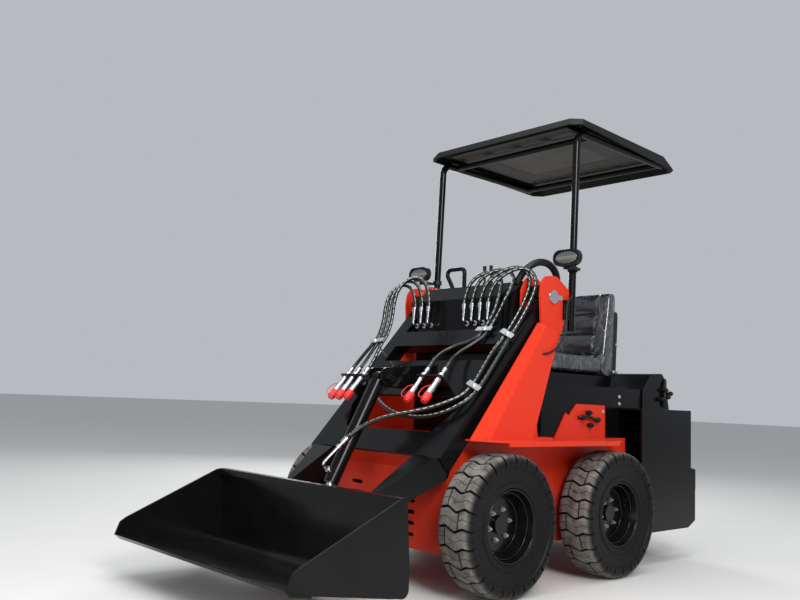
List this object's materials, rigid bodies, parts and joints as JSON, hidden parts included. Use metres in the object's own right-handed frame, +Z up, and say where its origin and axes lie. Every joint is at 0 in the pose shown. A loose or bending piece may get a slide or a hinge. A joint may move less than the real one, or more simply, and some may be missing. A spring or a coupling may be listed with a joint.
{
  "type": "skid steer loader",
  "caption": "Compact ride-on skid steer loader with a front bucket on lift arms, high-back seat, open canopy on posts and rear engine housing.",
  "frame": {"origin": "on the ground under the middle of the machine's length and width", "axes": "+X to the operator's left, +Y to the rear, +Z up; the bucket is at -Y"},
  "size_m": [1.258, 2.842, 2.215],
  "materials": {
    "orange_paint": "gloss",
    "black_paint": "gloss",
    "rim_black": "satin",
    "tyre_rubber": "matt, dusty",
    "chrome_steel": "bright",
    "black_vinyl": "semi-gloss vinyl",
    "canopy_plastic": "fine grain",
    "black_plastic": "moulded",
    "lamp_body": "black shell with a clear front",
    "engine_iron": "painted aluminium castings",
    "hose_rubber": "satin",
    "red_plastic": "moulded",
    "zinc_plate": "satin"
  },
  "bodies": {
    "lift_arms": {"arm_couplers": "chrome_steel", "arm_cross_members": "black_paint", "arm_hoses": "hose_rubber", "arm_left": "black_paint", "arm_right": "black_paint", "coupler_caps": "red_plastic", "hose_clamps": "zinc_plate", "tilt_hose": "hose_rubber"},
    "chassis": {"axle_hubs": "black_paint", "canopy_frame": "black_paint", "canopy_shell": "canopy_plastic", "chassis_frame": "orange_paint", "console": "black_paint", "control_levers": "black_plastic", "counterweight": "black_paint", "deck_plate": "orange_paint", "engine_block": "engine_iron", "engine_hood": "black_paint", "fenders": "orange_paint", "grab_handle": "black_paint", "loop_hoses": "hose_rubber", "pipe_ends": "chrome_steel", "pivot_pins": "chrome_steel", "rear_housing": "black_paint", "seat_back": "black_vinyl", "seat_cushion": "black_vinyl", "seat_pan": "black_paint", "side_panels": "orange_paint", "tower_left": "orange_paint", "tower_right": "orange_paint", "work_lamps": "lamp_body"},
    "bucket": {"bucket": "black_paint", "quick_attach": "black_paint"},
    "lift_barrel_left": {"lift_barrel_left": "black_paint"},
    "lift_barrel_right": {"lift_barrel_right": "black_paint"},
    "lift_rod_left": {"lift_rod_left": "chrome_steel"},
    "lift_rod_right": {"lift_rod_right": "chrome_steel"},
    "rear_hood": {"rear_hood": "black_paint"},
    "wheel_front_left": {"rim_front_left": "rim_black", "tyre_front_left": "tyre_rubber"},
    "wheel_front_right": {"rim_front_right": "rim_black", "tyre_front_right": "tyre_rubber"},
    "wheel_rear_left": {"rim_rear_left": "rim_black", "tyre_rear_left": "tyre_rubber"},
    "wheel_rear_right": {"rim_rear_right": "rim_black", "tyre_rear_right": "tyre_rubber"},
    "tilt_barrel": {"tilt_barrel": "black_paint", "tilt_port": "chrome_steel"},
    "tilt_rod": {"tilt_rod": "chrome_steel"}
  },
  "joints": [
    {"name": "wheel_spin_front_left", "type": "hinge", "parent": "chassis", "child": "wheel_front_left", "pos_m": [0.531, -0.285, 0.295], "axis": [1, 0, 0], "continuous": true},
    {"name": "wheel_spin_front_right", "type": "hinge", "parent": "chassis", "child": "wheel_front_right", "pos_m": [-0.531, -0.285, 0.295], "axis": [1, 0, 0], "continuous": true},
    {"name": "wheel_spin_rear_left", "type": "hinge", "parent": "chassis", "child": "wheel_rear_left", "pos_m": [0.531, 0.515, 0.295], "axis": [1, 0, 0], "continuous": true},
    {"name": "wheel_spin_rear_right", "type": "hinge", "parent": "chassis", "child": "wheel_rear_right", "pos_m": [-0.531, 0.515, 0.295], "axis": [1, 0, 0], "continuous": true},
    {"name": "lift", "type": "hinge", "parent": "chassis", "child": "lift_arms", "pos_m": [0, 0.145, 1.3], "axis": [-1, 0, 0], "range_deg": [0, 75], "deforming": ["loop_hoses"]},
    {"name": "bucket_tilt", "type": "hinge", "parent": "lift_arms", "child": "bucket", "pos_m": [0, -0.815, 0.19], "axis": [1, 0, 0], "range_deg": [-10, 110]},
    {"name": "lift_swing_left", "type": "hinge", "parent": "chassis", "child": "lift_barrel_left", "pos_m": [0.394, 0.045, 0.7], "axis": [1, 0, 0], "range_deg": [-1, 8]},
    {"name": "lift_extend_left", "type": "slide", "parent": "lift_barrel_left", "child": "lift_rod_left", "axis": [0, -0.0359, 0.9994], "range_m": [0, 0.26]},
    {"name": "lift_swing_right", "type": "hinge", "parent": "chassis", "child": "lift_barrel_right", "pos_m": [-0.394, 0.045, 0.7], "axis": [1, 0, 0], "range_deg": [-1, 8]},
    {"name": "lift_extend_right", "type": "slide", "parent": "lift_barrel_right", "child": "lift_rod_right", "axis": [0, -0.0359, 0.9994], "range_m": [0, 0.26]},
    {"name": "tilt_swing", "type": "hinge", "parent": "lift_arms", "child": "tilt_barrel", "pos_m": [0, -0.515, 0.888], "axis": [1, 0, 0], "range_deg": [-3, 1], "deforming": ["tilt_hose"]},
    {"name": "tilt_extend", "type": "slide", "parent": "tilt_barrel", "child": "tilt_rod", "axis": [0, -0.4768, -0.879], "range_m": [-0.03, 0.24]},
    {"name": "rear_hood_hinge", "type": "hinge", "parent": "chassis", "child": "rear_hood", "pos_m": [0, 1.073, 0.901], "axis": [1, 0, 0], "range_deg": [0, 45]}
  ],
  "couplings": [
    {"joint": "lift_swing_left", "follows": "lift", "ratio": 0.0894},
    {"joint": "lift_extend_left", "follows": "lift", "m_per_rad": 0.192},
    {"joint": "lift_swing_right", "follows": "lift", "ratio": 0.0894},
    {"joint": "lift_extend_right", "follows": "lift", "m_per_rad": 0.192},
    {"joint": "tilt_swing", "follows": "bucket_tilt", "ratio": -0.0162},
    {"joint": "tilt_extend", "follows": "bucket_tilt", "m_per_rad": 0.1232}
  ]
}
